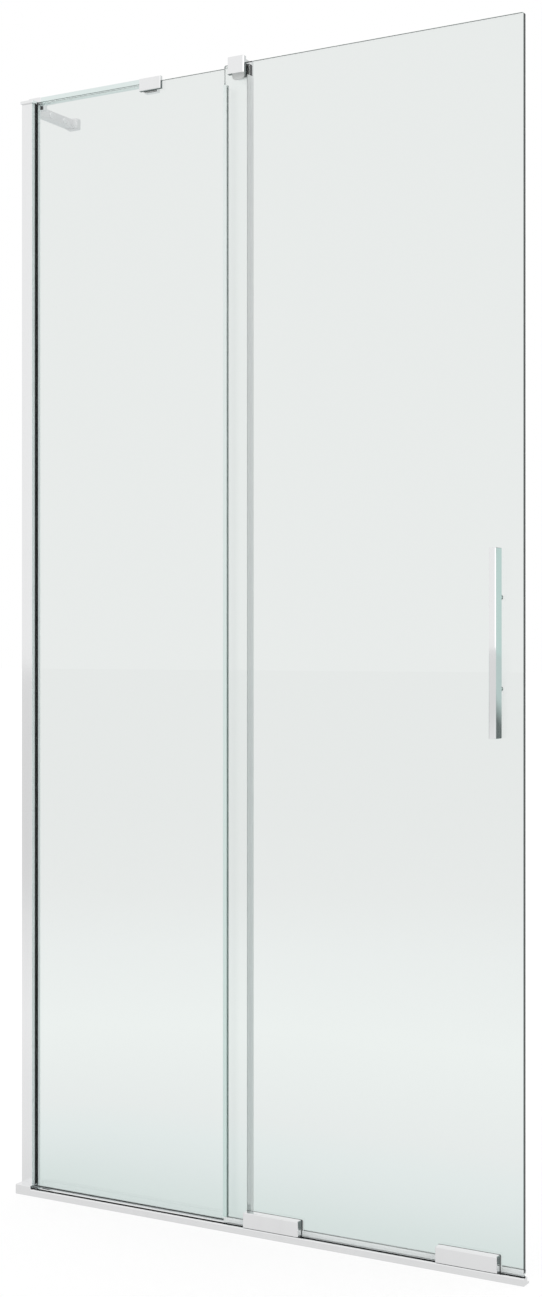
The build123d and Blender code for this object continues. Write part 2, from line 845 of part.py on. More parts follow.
def handle_washers():
    """Soft washers on both faces of the glass."""
    solids = []
    for z in handle_bolts:
        for y0, y1 in ((door_front - handle_washer, door_front), (door_back, door_back + handle_washer)):
            outer = handle_post / 2 + handle_washer_rim
            solids.append(sleeve(handle_x, z, outer, handle_screw / 2 + thread_play, y0, y1))
    return pieces(solids)


def handle_screws():
    """The two dome-head screws that reach through the glass and the sleeves into the bar."""
    solids = []
    seat = door_back + handle_washer
    end = door_front - handle_standoff - handle_screw_depth
    for z in handle_bolts:
        head = rod("Y", handle_screw_head / 2, seat, seat + handle_screw_head_height, handle_x, z)
        head = fillet(head.edges().sort_by(Axis.Y)[-1], dome_radius)
        socket = hex_socket(handle_x, seat + handle_screw_head_height, z, handle_socket, handle_socket_depth)
        solids.append(head + rod("Y", handle_screw / 2, end, seat, handle_x, z) - socket)
    return pieces(solids)


def bush(x, z, hole, shank):
    """A nylon sleeve that keeps a bolt off the glass."""
    return sleeve(x, z, hole / 2 - thread_play, shank / 2 + thread_play, door_front, door_back)


def glass_bushes():
    """The sleeves in the six holes of the door pane."""
    solids = [bush(x, z, bolt_hole_in_glass, carriage_bolt) for x, z in carriage_bolts()]
    solids += [bush(handle_x, z, handle_hole_in_glass, handle_screw) for z in handle_bolts]
    return pieces(solids)


def carriage_cover(centre):
    """A chromed cover, open behind and below, that hides a carriage and its wheels."""
    half = cover_length / 2
    y0, y1 = track_front, door_front - running_clearance
    z0 = track_height + cover_lift
    shape = box(centre - half, centre + half, y0, y1, z0, cover_top)
    front = shape.faces().sort_by(Axis.Y)[0].edges()
    ends = shape.faces().sort_by(Axis.Z)[-1].edges().filter_by(Axis.Y)
    shape = fillet(front + ends, cover_radius)
    w = cover_wall
    return shape - box(centre - half + w, centre + half - w, y0 + w, y1, z0, cover_top - w)


def carriage_body(centre):
    """The cast plate that carries two wheels in front of the door pane."""
    top = min(body_top, cover_top - cover_wall - running_clearance)
    shape = box(centre - body_half, centre + body_half, body_front, body_back, body_bottom, top)
    for side in (-1, 1):
        x = centre + side * wheel_spread
        boss_front = wheel_y + bearing_width / 2
        bore = axle_diameter / 2 + thread_play
        shape += rod("Y", axle_diameter / 2 + boss_wall, boss_front, body_front, x, wheel_z)
        shape -= rod("Y", bore, boss_front - cut_over, body_back + cut_over, x, wheel_z)
        bolt = centre + side * carriage_bolt_spread
        hole = carriage_bolt / 2 + thread_play
        shape -= rod("Y", hole, body_front - cut_over, body_back + cut_over, bolt, carriage_bolt_height)
    return shape


def carriage_backplate(centre):
    """The plate behind the glass that the carriage bolts pass through."""
    y0 = door_back + carriage_pad
    y1 = y0 + backplate_thickness
    shape = box(centre - body_half, centre + body_half, y0, y1, body_bottom, body_top)
    shape = fillet(shape.edges().filter_by(Axis.Y), glass_corner)
    for side in (-1, 1):
        x = centre + side * carriage_bolt_spread
        shape -= countersunk(x, carriage_bolt_height, y0 - cut_over, y1, thread_play)
    return shape


def countersunk(x, z, y0, y1, play):
    """A bolt along Y from y0 with its flat head flush at y1."""
    shank = carriage_bolt / 2 + play
    head = carriage_bolt_head / 2 + play
    cone_height = head - shank
    cone = Pos(x, y1 - cone_height / 2, z) * Rot(-90, 0, 0) * Cone(shank, head, cone_height)
    return rod("Y", shank, y0, y1 - cone_height, x, z) + cone


def carriage_screws():
    """The four countersunk bolts that hold the carriages on the door."""
    flush = door_back + carriage_pad + backplate_thickness
    solids = []
    for x, z in carriage_bolts():
        bolt = countersunk(x, z, body_front - carriage_bolt_end, flush, 0)
        solids.append(bolt - hex_socket(x, flush, z, carriage_socket, carriage_socket_depth))
    return pieces(solids)


def carriage_pads():
    """Rubber pads between the carriages, the backplates and the glass."""
    solids = []
    for centre in carriages.values():
        for y0, y1 in ((body_back, door_front), (door_back, door_back + carriage_pad)):
            top = min(body_top, cover_top - cover_wall - running_clearance)
            pad = box(centre - body_half, centre + body_half, y0, y1, body_bottom, top)
            for side in (-1, 1):
                x = centre + side * carriage_bolt_spread
                hole = carriage_bolt / 2 + thread_play
                pad -= rod("Y", hole, y0 - cut_over, y1 + cut_over, x, carriage_bolt_height)
            solids.append(pad)
    return pieces(solids)


def axles():
    """The four shoulder screws that the wheels turn on."""
    solids = []
    for x in wheels:
        head_back = wheel_y - bearing_width / 2
        head = rod("Y", axle_head / 2, head_back - axle_head_height, head_back, x, wheel_z)
        solids.append(head + rod("Y", axle_diameter / 2, head_back, body_back, x, wheel_z))
    return pieces(solids)


def ring(x, inner, outer, width):
    """A ring round a wheel's axle."""
    return sleeve(x, wheel_z, outer, inner, wheel_y - width / 2, wheel_y + width / 2)


def bearing_inner_rings():
    """The inner rings of the four wheel bearings, fixed on the axles."""
    bore = axle_diameter / 2 + thread_play
    return pieces(ring(x, bore, bearing_inner_radius, bearing_width) for x in wheels)


def bearing_outer_ring(x):
    """The outer ring of a wheel bearing."""
    return ring(x, bearing_inner_radius + running_clearance, bearing_outer_radius, bearing_width)


def wheel(x):
    """A nylon wheel with a slightly crowned tread."""
    y0, y1 = wheel_y - wheel_width / 2, wheel_y + wheel_width / 2
    shape = rod("Y", wheel_radius, y0, y1, x, wheel_z)
    shape = chamfer(shape.edges(), wheel_crown)
    return shape - rod("Y", bearing_outer_radius, y0 - cut_over, y1 + cut_over, x, wheel_z)


nodes = {
    "wall_channel": wall_channel(),
    "glass_profile": glass_profile(),
    "profile_top_cap": profile_top_cap(),
    "profile_screws": profile_screws(),
    "profile_screw_caps": profile_screw_caps(),
    "wall_gasket_front": wall_gasket(-1),
    "wall_gasket_rear": wall_gasket(1),
    "fixed_glass": fixed_glass(),
    "fixed_glass_edge_seal": fixed_glass_edge_seal(),
    "base_channel": base_channel(),
    "base_gaskets": base_gaskets(),
    "setting_blocks": setting_blocks(),
    "end_block": end_block(),
    "bottom_track": bottom_track(),
    "track_end_cap": track_end_cap(),
    "track_stops": track_stops(),
    "arm_wall_rail": arm_wall_rail(),
    "arm_end_block": arm_end_block(),
    "arm_screw_plugs": arm_screw_plugs(),
    "arm_elbow": arm_elbow(),
    "arm_elbow_screw": arm_elbow_screw(),
    "arm_bar": arm_bar(),
    "clamp_body": clamp_body(),
    "clamp_pressure_plate": clamp_pressure_plate(),
    "clamp_pads": clamp_pads(),
    "clamp_grub_screws": clamp_grub_screws(),
    "clamp_bar_screw": clamp_bar_screw(),
    "guide_body": guide_body(),
    "guide_pressure_plate": guide_pressure_plate(),
    "guide_pads": guide_pads(),
    "guide_gliders": guide_gliders(),
    "guide_grub_screws": guide_grub_screws(),
    "door_glass": door_glass(),
    "door_edge_seal": door_edge_seal(),
    "door_bottom_seal": door_bottom_seal(),
    "handle_bar": handle_bar(),
    "handle_posts": handle_posts(),
    "handle_washers": handle_washers(),
    "handle_screws": handle_screws(),
    "glass_bushes": glass_bushes(),
    "carriage_pads": carriage_pads(),
    "carriage_screws": carriage_screws(),
    "axles": axles(),
    "bearing_inner_rings": bearing_inner_rings(),
}
for side, centre in carriages.items():
    nodes[f"carriage_cover_{side}"] = carriage_cover(centre)
    nodes[f"carriage_body_{side}"] = carriage_body(centre)
    nodes[f"carriage_backplate_{side}"] = carriage_backplate(centre)
for number, x in enumerate(wheels, start=1):
    nodes[f"wheel_{number}"] = wheel(x)
    nodes[f"bearing_outer_ring_{number}"] = bearing_outer_ring(x)

os.makedirs("parts", exist_ok=True)
for name, shape in nodes.items():
    export_step(shape, f"parts/{name}.step")
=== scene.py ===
"""Looks of the walk-in shower screen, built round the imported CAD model. Metres, in the CAD model's frame."""

import json
import math

import bmesh
import bpy
import numpy as np
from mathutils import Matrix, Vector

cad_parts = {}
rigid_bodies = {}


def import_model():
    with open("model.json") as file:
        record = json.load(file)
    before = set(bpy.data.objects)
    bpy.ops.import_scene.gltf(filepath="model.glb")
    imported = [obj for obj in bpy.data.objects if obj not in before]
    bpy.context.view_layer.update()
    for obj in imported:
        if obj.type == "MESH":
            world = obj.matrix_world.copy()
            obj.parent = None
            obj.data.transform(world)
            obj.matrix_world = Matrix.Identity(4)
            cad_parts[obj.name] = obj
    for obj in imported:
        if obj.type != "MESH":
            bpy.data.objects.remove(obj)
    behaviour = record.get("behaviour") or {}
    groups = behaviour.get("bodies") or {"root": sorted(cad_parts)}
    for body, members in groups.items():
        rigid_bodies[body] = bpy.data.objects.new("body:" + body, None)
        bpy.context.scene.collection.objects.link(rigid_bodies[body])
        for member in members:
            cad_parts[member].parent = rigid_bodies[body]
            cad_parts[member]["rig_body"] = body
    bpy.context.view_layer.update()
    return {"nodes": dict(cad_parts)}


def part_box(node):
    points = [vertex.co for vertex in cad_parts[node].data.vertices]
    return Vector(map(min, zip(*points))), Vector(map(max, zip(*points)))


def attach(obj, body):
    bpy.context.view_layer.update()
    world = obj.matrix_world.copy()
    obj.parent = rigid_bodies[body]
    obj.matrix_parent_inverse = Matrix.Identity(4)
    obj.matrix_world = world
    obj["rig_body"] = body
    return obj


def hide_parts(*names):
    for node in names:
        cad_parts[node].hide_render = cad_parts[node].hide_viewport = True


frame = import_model()

MM = 0.001
X, Y, Z = 0, 1, 2
POLE = 0.02 * MM                        # radius of the disc that closes a pole, and smallest corner radius
ROOM = 0.03 * MM                        # gap between a seal's lip and the pane
SHARP_ANGLE = math.radians(32)
FLAP_SHARE = 0.45                       # how much of the CAD gasket's reach past the profile its flap covers
FIN_START = 37.5 * MM                   # height over its foot at which the fin of the fixed pane's seal starts


def span(node):
    """Lowest and highest corner of a CAD node as two arrays."""
    low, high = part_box(node)
    return np.array(low), np.array(high)


# Surfaces: every builder returns (points, faces), and piece() makes one object of several of them.

def rounded_outline(corners, steps=6):
    """A closed outline from (u, v, radius) corners.

    With a and b the unit vectors from the corner to its neighbours and phi the angle between them, the
    arc's centre lies on the bisector at radius / sin(phi / 2), and its points turn evenly from the touching
    point on one side to the one on the other.
    """
    corners = np.array(corners, float)
    point, radius = corners[:, :2], np.maximum(corners[:, 2:], POLE)
    a = np.roll(point, 1, axis=0) - point
    b = np.roll(point, -1, axis=0) - point
    a /= np.linalg.norm(a, axis=1, keepdims=True)
    b /= np.linalg.norm(b, axis=1, keepdims=True)
    phi = np.arccos(np.clip((a * b).sum(1, keepdims=True), -1, 1))
    middle = (a + b) / np.linalg.norm(a + b, axis=1, keepdims=True)
    centre = point + middle * radius / np.sin(phi / 2)
    first = point + a * radius / np.tan(phi / 2) - centre
    last = point + b * radius / np.tan(phi / 2) - centre
    turn = (math.pi - phi)[:, None, :]
    t = np.linspace(0, 1, steps)[None, :, None]
    share_first, share_last = np.sin((1 - t) * turn), np.sin(t * turn)
    arc = (share_first * first[:, None] + share_last * last[:, None]) / np.sin(turn)
    return (centre[:, None] + arc).reshape(-1, 2)


def block_outline(u0, u1, v0, v1, radii, steps=6):
    """A rectangle with its own radius at (u0, v0), (u1, v0), (u1, v1) and (u0, v1)."""
    corners = [(u0, v0), (u1, v0), (u1, v1), (u0, v1)]
    return rounded_outline([(u, v, r) for (u, v), r in zip(corners, radii)], steps)


def ring_faces(rings, count):
    """Four-sided faces between neighbouring closed rings of count points each."""
    k = np.arange(rings - 1)[:, None] * count
    i = np.arange(count)[None, :]
    j = (i + 1) % count
    return np.stack([k + i, k + j, k + count + j, k + count + i], axis=-1).reshape(-1, 4).tolist()


def swept(outline, axis, start, end, round_start=0.0, round_end=0.0, steps=5):
    """A closed outline carried along an axis.

    At a rounded end the outline shrinks about its middle by e(1 - sin t) while it moves e(1 - cos t) along
    the axis, for t from 0 to a quarter turn, which is a quarter round of radius e.
    """
    t = np.linspace(0, math.pi / 2, steps)
    places, insets = [], []
    for place, e, side in ((start, round_start, 1), (end, round_end, -1)):
        arc = t if e else t[-1:]
        arc = arc if side > 0 else arc[::-1]
        places.append(place + side * e * (1 - np.cos(arc)) if e else np.array([place]))
        insets.append(e * (1 - np.sin(arc)))
    place, inset = np.concatenate(places), np.concatenate(insets)
    low, high = outline.min(0), outline.max(0)
    middle, half = (low + high) / 2, (high - low) / 2
    scale = (half[None, :] - inset[:, None]) / half[None, :]
    ring = middle + (outline - middle)[None] * scale[:, None, :]
    points = np.empty((len(place), len(outline), 3))
    u, v = [k for k in (X, Y, Z) if k != axis]
    points[..., axis] = place[:, None]
    points[..., u] = ring[..., 0]
    points[..., v] = ring[..., 1]
    count = len(outline)
    faces = ring_faces(len(place), count)
    faces += [list(range(count))[::-1], list(range((len(place) - 1) * count, len(place) * count))]
    return points.reshape(-1, 3), faces


def turned(profile, axis, centre, side=1, count=48):
    """A shape turned round an axis from (round radius, hexagon half width, height) rows.

    A row's radius at angle q is its round radius plus its half width / cos(q folded into +-30 degrees),
    so a row with only a half width is a hexagon, and heights run from the centre along side * axis.
    """
    profile = np.array(profile, float)
    q = np.linspace(0, 2 * math.pi, count, endpoint=False)[None, :]
    fold = (q + math.pi / 6) % (math.pi / 3) - math.pi / 6
    radius = profile[:, 0:1] + profile[:, 1:2] / np.cos(fold)
    u, v = [k for k in (X, Y, Z) if k != axis]
    points = np.empty((len(profile), count, 3))
    points[..., axis] = centre[axis] + side * profile[:, 2:3]
    points[..., u] = centre[u] + radius * np.cos(q)
    points[..., v] = centre[v] + radius * np.sin(q)
    faces = ring_faces(len(profile), count)
    last = (len(profile) - 1) * count
    faces += [list(range(count))[::-1], list(range(last, last + count))]
    return points.reshape(-1, 3), faces


def bead(radius, height, edge, steps=5):
    """Profile rows of a disc whose outer rim turns over its top edge in a quarter round."""
    t = np.linspace(0, math.pi / 2, steps)
    rows = [(radius, 0, 0)]
    rows += [(radius - edge * (1 - math.cos(a)), 0, height - edge * (1 - math.sin(a))) for a in t]
    return rows


def domed_cap(radius, height, edge, rise, flat):
    """Profile rows of a snap cap: a rounded rim, and a face that rises to a flat share of the radius."""
    return bead(radius, height - rise, edge) + [(flat * radius, 0, height), (POLE, 0, height)]


def socket_head(radius, height, edge, width, depth):
    """Profile rows of a screw head: a rounded rim, a flat face, and a hexagon socket with its floor."""
    half, broken = width / 2, 0.2 * MM
    rows = bead(radius, height, edge)
    rows += [(broken, half, height), (0, half, height - broken)]
    rows += [(0, half, height - depth), (0, POLE, height - depth - 0.3 * half)]
    return rows


def piece(name, parts, material, nodes=(), body=None):
    """One object of several surfaces: doubles merged, faces turned outwards, smooth up to a sharp angle."""
    points, faces, first = [], [], 0
    for part_points, part_faces in parts:
        points.append(part_points)
        faces += [[first + i for i in face] for face in part_faces]
        first += len(part_points)
    mesh = bpy.data.meshes.new(name)
    mesh.from_pydata(np.concatenate(points).tolist(), [], faces)
    shape = bmesh.new()
    shape.from_mesh(mesh)
    bmesh.ops.remove_doubles(shape, verts=shape.verts, dist=1e-7)
    bmesh.ops.recalc_face_normals(shape, faces=shape.faces)
    shape.to_mesh(mesh)
    shape.free()
    mesh.polygons.foreach_set("use_smooth", np.ones(len(mesh.polygons), bool))
    mesh.set_sharp_from_angle(angle=SHARP_ANGLE)
    mesh.materials.append(material)
    obj = bpy.data.objects.new(name, mesh)
    bpy.context.scene.collection.objects.link(obj)
    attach(obj, body or frame["nodes"][nodes[0]]["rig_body"])
    if nodes:
        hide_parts(*nodes)


# Node groups and materials

class Nodes:
    """Short hand for adding and joining shader nodes in one tree."""

    def __init__(self, tree):
        self.tree = tree

    def add(self, kind, inputs=None, **settings):
        node = self.tree.nodes.new(kind)
        for key, value in settings.items():
            setattr(node, key, value)
        for key, value in (inputs or {}).items():
            self.put(node.inputs[key], value)
        return node

    def put(self, socket, value):
        if isinstance(value, bpy.types.NodeSocket):
            self.tree.links.new(value, socket)
        else:
            socket.default_value = value

    def math(self, operation, a, b=0.0, c=0.0, clamp=False):
        node = self.add("ShaderNodeMath", {0: a, 1: b, 2: c}, operation=operation, use_clamp=clamp)
        return node.outputs[0]

    def fit(self, value, low, high, out_low=0.0, out_high=1.0, smooth=False):
        kind = "SMOOTHSTEP" if smooth else "LINEAR"
        inputs = {"Value": value, "From Min": low, "From Max": high, "To Min": out_low, "To Max": out_high}
        return self.add("ShaderNodeMapRange", inputs, interpolation_type=kind).outputs[0]

    def mix(self, share, a, b):
        node = self.add("ShaderNodeMix", {0: share, 6: a, 7: b}, data_type="RGBA")
        return node.outputs[2]

    def ramp(self, share, stops):
        node = self.add("ShaderNodeValToRGB", {0: share})
        marks = node.color_ramp.elements
        while len(marks) < len(stops):
            marks.new(0.5)
        for mark, stop in zip(marks, stops):
            mark.position = stop[0]
        for mark, stop in zip(marks, stops):
            mark.color = (*stop[1], 1.0)
        return node.outputs[0]

    def group(self, name, **inputs):
        node = self.add("ShaderNodeGroup", node_tree=bpy.data.node_groups[name])
        for key, value in inputs.items():
            self.put(node.inputs[key.replace("_", " ")], value)
        return node.outputs


def new_group(name, inputs, outputs):
    """An empty node group with named sockets: inputs are (name, kind, value), outputs are (name, kind)."""
    group = bpy.data.node_groups.new(name, "ShaderNodeTree")
    for label, kind, value in inputs:
        socket = group.interface.new_socket(label, in_out="INPUT", socket_type="NodeSocket" + kind)
        if value is not None:
            socket.default_value = value
    for label, kind in outputs:
        group.interface.new_socket(label, in_out="OUTPUT", socket_type="NodeSocket" + kind)
    nodes = Nodes(group)
    return nodes, nodes.add("NodeGroupInput").outputs, nodes.add("NodeGroupOutput").inputs


def grain_group():
    """Fine noise, stretched along one axis for drawn or brushed metal."""
    inputs = [("Vector", "Vector", None), ("Stretch", "Vector", (1, 1, 1)), ("Scale", "Float", 900.0)]
    n, given, put = new_group("fine_grain", inputs, [("Value", "Float"), ("Height", "Float")])
    place = n.add("ShaderNodeVectorMath", {0: given[0], 1: given[1]}, operation="MULTIPLY").outputs[0]
    noise = n.add("ShaderNodeTexNoise", {"Vector": place, "Scale": given[2], "Detail": 3.0, "Roughness": 0.6})
    n.put(put[0], n.fit(noise.outputs[0], 0.3, 0.7))
    n.put(put[1], noise.outputs[0])


def film_group():
    """Wiping marks and dried water: slow clouds broken by short upright runs."""
    inputs = [("Vector", "Vector", None), ("Amount", "Float", 0.5)]
    n, given, put = new_group("wiped_film", inputs, [("Mask", "Float")])
    cloud = n.add("ShaderNodeTexNoise", {"Vector": given[0], "Scale": 5.0, "Detail": 4.0, "Distortion": 0.6})
    tall = n.add("ShaderNodeVectorMath", {0: given[0], 1: (60, 60, 5)}, operation="MULTIPLY").outputs[0]
    run = n.add("ShaderNodeTexNoise", {"Vector": tall, "Scale": 1.0, "Detail": 2.0})
    both = n.math("MULTIPLY", n.fit(cloud.outputs[0], 0.42, 0.7), n.fit(run.outputs[0], 0.35, 0.75))
    n.put(put[0], n.math("MULTIPLY", both, given[1], clamp=True))


def side_group():
    """One where a point lies in the thin skin of a block's far end along X, and along the rim of X and Z."""
    inputs = [
        ("Vector", "Vector", None),
        ("Middle", "Vector", (0, 0, 0)),
        ("Half", "Vector", (1, 1, 1)),
        ("Skin", "Float", 0.0007),
    ]
    n, given, put = new_group("block_sides", inputs, [("End", "Float"), ("Rim", "Float")])
    offset = n.add("ShaderNodeVectorMath", {0: given[0], 1: given[1]}, operation="SUBTRACT").outputs[0]
    here = n.add("ShaderNodeSeparateXYZ", {0: offset}).outputs
    half = n.add("ShaderNodeSeparateXYZ", {0: given[2]}).outputs
    x_depth = n.math("SUBTRACT", half[0], n.math("ABSOLUTE", here[0]))
    z_depth = n.math("SUBTRACT", half[2], n.math("ABSOLUTE", here[2]))
    end_depth = n.math("SUBTRACT", half[0], here[0])
    n.put(put[0], n.math("LESS_THAN", end_depth, given[3]))
    n.put(put[1], n.math("LESS_THAN", n.math("MINIMUM", x_depth, z_depth), given[3]))


grain_group()
film_group()
side_group()


def new_material(name, **sockets):
    """A material with one Principled shader, its plain values set on the shader's own sockets."""
    material = bpy.data.materials.new(name)
    material.use_nodes = True
    n = Nodes(material.node_tree)
    shader = material.node_tree.nodes["Principled BSDF"]
    for key, value in sockets.items():
        shader.inputs[key.replace("_", " ")].default_value = value
    here = n.add("ShaderNodeTexCoord").outputs["Object"]
    return material, n, shader.inputs, here


def bump(n, height, strength, distance):
    return n.add("ShaderNodeBump", {"Height": height, "Strength": strength, "Distance": distance}).outputs[0]


def chrome(name="bright_chrome", low=0.05, high=0.10, colour=(0.93, 0.935, 0.94), stretch=(1, 1, 1)):
    """Polished chrome plate: faint wiping marks in the gloss and a slow roll in the surface."""
    material, n, put, here = new_material(name, Metallic=1.0)
    film = n.group("wiped_film", Vector=here, Amount=0.8)[0]
    grain = n.group("fine_grain", Vector=here, Stretch=stretch, Scale=420.0)
    dull = tuple(0.965 * c for c in colour)
    n.put(put["Base Color"], n.mix(film, (*colour, 1), (*dull, 1)))
    n.put(put["Roughness"], n.fit(n.math("MULTIPLY_ADD", grain[0], 0.4, film), 0, 1, low, high))
    n.put(put["Normal"], bump(n, grain[1], 0.05, 0.02 * MM))
    return material


def profile_chrome_painted_side(node):
    """Chrome of the wall profile; its side towards the pane is a pale teal strip that is not metallic, a
    painted reflection of the teal light that chrome shows there.
    """
    low, high = span(node)
    material, n, put, here = new_material("profile_chrome_painted_side")
    sides = n.group("block_sides", Vector=here, Middle=(low + high) / 2, Half=(high - low) / 2, Skin=0.4 * MM)
    film = n.group("wiped_film", Vector=here, Amount=0.8)[0]
    grain = n.group("fine_grain", Vector=here, Stretch=(1, 1, 0.03), Scale=500.0)
    front = n.mix(film, (0.93, 0.935, 0.94, 1), (0.9, 0.905, 0.91, 1))
    # Painted reflection: the side towards the pane gets a pale teal colour and loses its metal.
    n.put(put["Base Color"], n.mix(sides[0], front, (0.9, 1.0, 0.99, 1)))
    n.put(put["Metallic"], n.math("SUBTRACT", 1.0, sides[0]))
    gloss = n.fit(n.math("MULTIPLY_ADD", grain[0], 0.4, film), 0, 1, 0.05, 0.1)
    n.put(put["Roughness"], n.math("MULTIPLY_ADD", sides[0], 0.3, gloss))
    n.put(put["Normal"], bump(n, grain[1], 0.05, 0.02 * MM))
    return material


def clear_glass(name, node):
    """Toughened clear glass: green-grey cut edges, and a faint film from wiping."""
    low, high = span(node)
    material, n, put, here = new_material(name, Roughness=0.0, IOR=1.5, Transmission_Weight=1.0)
    put["Specular IOR Level"].default_value = 0.75
    sides = n.group("block_sides", Vector=here, Middle=(low + high) / 2, Half=(high - low) / 2)
    film = n.group("wiped_film", Vector=here, Amount=0.25)[0]
    face = n.mix(film, (0.98, 0.992, 0.988, 1), (0.965, 0.98, 0.975, 1))
    cut = n.mix(sides[0], (0.95, 0.99, 0.98, 1), (0.16, 0.19, 0.19, 1))
    n.put(put["Base Color"], n.mix(sides[1], face, cut))
    return material


def clear_seal(name, shaded_low_colour, unshaded_high_colour, z_range):
    """Clear soft plastic of the edge seals, with drawing lines; its colour runs a little darker towards the
    floor as painted shade.
    """
    material, n, put, here = new_material(name, IOR=1.45)
    z = n.add("ShaderNodeSeparateXYZ", {0: here}).outputs[2]
    grain = n.group("fine_grain", Vector=here, Stretch=(1, 1, 0.01), Scale=1200.0)
    # Painted shade: the colour darkens from the high colour to the low colour towards the floor.
    share = n.fit(z, z_range[0], z_range[1], smooth=True)
    tone = n.mix(share, (*shaded_low_colour, 1), (*unshaded_high_colour, 1))
    n.put(put["Base Color"], n.mix(n.math("MULTIPLY", grain[0], 0.12), tone, (0.66, 0.74, 0.72, 1)))
    n.put(put["Roughness"], n.fit(grain[0], 0, 1, 0.22, 0.34))
    n.put(put["Normal"], bump(n, grain[1], 0.15, 0.05 * MM))
    return material


def rubber(name="black_rubber", colour=(0.012, 0.015, 0.015), stretch=(1, 1, 0.02)):
    """Black rubber: matt, with fine drawing lines along its length."""
    material, n, put, here = new_material(name, IOR=1.5)
    grain = n.group("fine_grain", Vector=here, Stretch=stretch, Scale=1500.0)
    bloom = n.group("wiped_film", Vector=here, Amount=0.5)[0]
    pale = tuple(2.2 * c for c in colour)
    n.put(put["Base Color"], n.mix(bloom, (*colour, 1), (*pale, 1)))
    n.put(put["Roughness"], n.fit(grain[0], 0, 1, 0.5, 0.7))
    n.put(put["Normal"], bump(n, grain[1], 0.3, 0.05 * MM))
    return material


def brushed(name, colour, stretch, low, high):
    """Drawn or brushed bare metal."""
    material, n, put, here = new_material(name, Metallic=1.0)
    grain = n.group("fine_grain", Vector=here, Stretch=stretch, Scale=1100.0)
    film = n.group("wiped_film", Vector=here, Amount=0.6)[0]
    dull = tuple(0.85 * c for c in colour)
    worn = n.math("MAXIMUM", film, n.math("MULTIPLY", grain[0], 0.4))
    n.put(put["Base Color"], n.mix(worn, (*colour, 1), (*dull, 1)))
    n.put(put["Roughness"], n.fit(grain[0], 0, 1, low, high))
    n.put(put["Normal"], bump(n, grain[1], 0.25, 0.04 * MM))
    return material


def moulded(name, colour, low, high, scale=700.0):
    """Moulded nylon or cast metal with a fine grained skin."""
    material, n, put, here = new_material(name, IOR=1.5)
    grain = n.group("fine_grain", Vector=here, Stretch=(1, 1, 1), Scale=scale)
    dull = tuple(0.9 * c for c in colour)
    n.put(put["Base Color"], n.mix(grain[0], (*colour, 1), (*dull, 1)))
    n.put(put["Roughness"], n.fit(grain[0], 0, 1, low, high))
    n.put(put["Normal"], bump(n, grain[1], 0.2, 0.05 * MM))
    return material


bright = chrome()
drawn = chrome("drawn_chrome", 0.06, 0.12, stretch=(0.03, 1, 1))
satin = chrome("satin_chrome", 0.3, 0.4, (0.86, 0.865, 0.87))
# The arm bar's chrome is tinted pale teal as a painted reflection.
bar_chrome = chrome("bar_chrome", colour=(0.85, 0.935, 0.92), stretch=(0.03, 1, 1))
side_chrome = profile_chrome_painted_side("glass_profile")
fixed_pane = clear_glass("fixed_pane_glass", "fixed_glass")
door_pane = clear_glass("door_pane_glass", "door_glass")
black = rubber()
pad_rubber = rubber("pad_rubber", stretch=(1, 1, 1))
pale_rubber = rubber("pale_rubber", (0.36, 0.4, 0.4), (0.02, 1, 1))
steel = brushed("brushed_steel", (0.62, 0.62, 0.61), (0.05, 1, 1), 0.24, 0.36)
turned_steel = brushed("turned_steel", (0.66, 0.66, 0.65), (1, 1, 1), 0.16, 0.3)
aluminium = brushed("mill_aluminium", (0.78, 0.79, 0.8), (1, 1, 0.03), 0.3, 0.45)
white_nylon = moulded("white_nylon", (0.78, 0.8, 0.79), 0.4, 0.55)
cast_grey = moulded("cast_grey", (0.3, 0.31, 0.32), 0.5, 0.65, 400.0)
seal_top = span("door_edge_seal")[1][Z]
# The seals' low colours are painted shade near the floor.
door_seal_plastic = clear_seal("door_seal_plastic", (0.72, 0.88, 0.84), (0.93, 1.0, 0.98), (0.1, seal_top))
fixed_seal_plastic = clear_seal("fixed_seal_plastic", (0.78, 0.85, 0.84), (0.92, 0.94, 0.94), (0.1, seal_top))
wiper_plastic = clear_seal("wiper_plastic", (0.93, 0.97, 0.965), (0.95, 0.99, 0.985), (0.0, 0.03))

NODE_MATERIALS = {
    "glass_profile": side_chrome,
    "fixed_glass": fixed_pane,
    "door_glass": door_pane,
    "wall_channel": aluminium,
    "base_gaskets": pale_rubber,
    "setting_blocks": pad_rubber,
    "track_stops": pad_rubber,
    "clamp_pads": pad_rubber,
    "guide_pads": pad_rubber,
    "carriage_pads": pad_rubber,
    "guide_gliders": white_nylon,
    "glass_bushes": white_nylon,
    "carriage_body_left": cast_grey,
    "carriage_body_right": cast_grey,
    "door_edge_seal": door_seal_plastic,
    "fixed_glass_edge_seal": fixed_seal_plastic,
    "base_channel": drawn,
    "bottom_track": drawn,
}
BY_SLOT = {
    "chrome": bright,
    "clear_glass": door_pane,
    "clear_seal": wiper_plastic,
    "black_rubber": black,
    "mill_aluminium": aluminium,
    "steel": steel,
    "nylon": white_nylon,
    "cast_body": cast_grey,
}
for name, node in frame["nodes"].items():
    for holder in node.material_slots:
        holder.material = NODE_MATERIALS.get(name, BY_SLOT[holder.material.name.split(".")[0]])


# Handle

